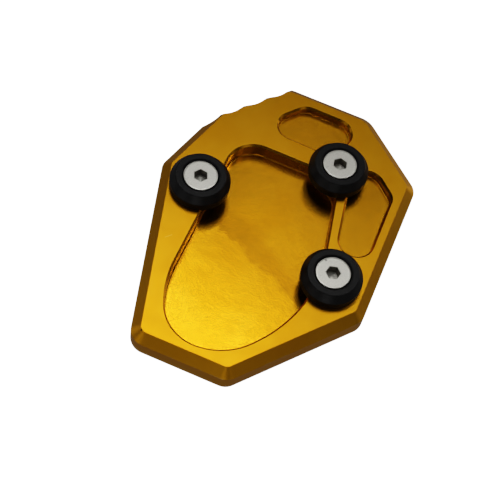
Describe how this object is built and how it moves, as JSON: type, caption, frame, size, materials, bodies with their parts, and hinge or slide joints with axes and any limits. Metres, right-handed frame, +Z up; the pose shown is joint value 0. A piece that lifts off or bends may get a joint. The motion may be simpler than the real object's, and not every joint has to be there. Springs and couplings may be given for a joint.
{
  "type": "kickstand foot enlarger",
  "caption": "Milled plate with a recessed pocket and countersunk clamp discs that grip a side stand's foot and spread its load over soft ground.",
  "frame": {"origin": "middle of the underside of the plate, on the surface it rests on", "axes": "+Z up out of the pocket side of the plate; +X along the plate's long side, away from its tapered end; +Y towards the scalloped edge"},
  "size_m": [0.1118, 0.0902, 0.015],
  "materials": {
    "anodised_plate": "gold anodised over a fine milled face",
    "black_disc": "black anodised, satin",
    "stainless_screw": "plain stainless, fine turned face"
  },
  "bodies": {
    "root": {"base_plate": "anodised_plate", "clamp_disc_left": "black_disc", "clamp_disc_upper": "black_disc", "clamp_disc_lower": "black_disc", "clamp_screw_left": "stainless_screw", "clamp_screw_upper": "stainless_screw", "clamp_screw_lower": "stainless_screw"}
  },
  "joints": []
}
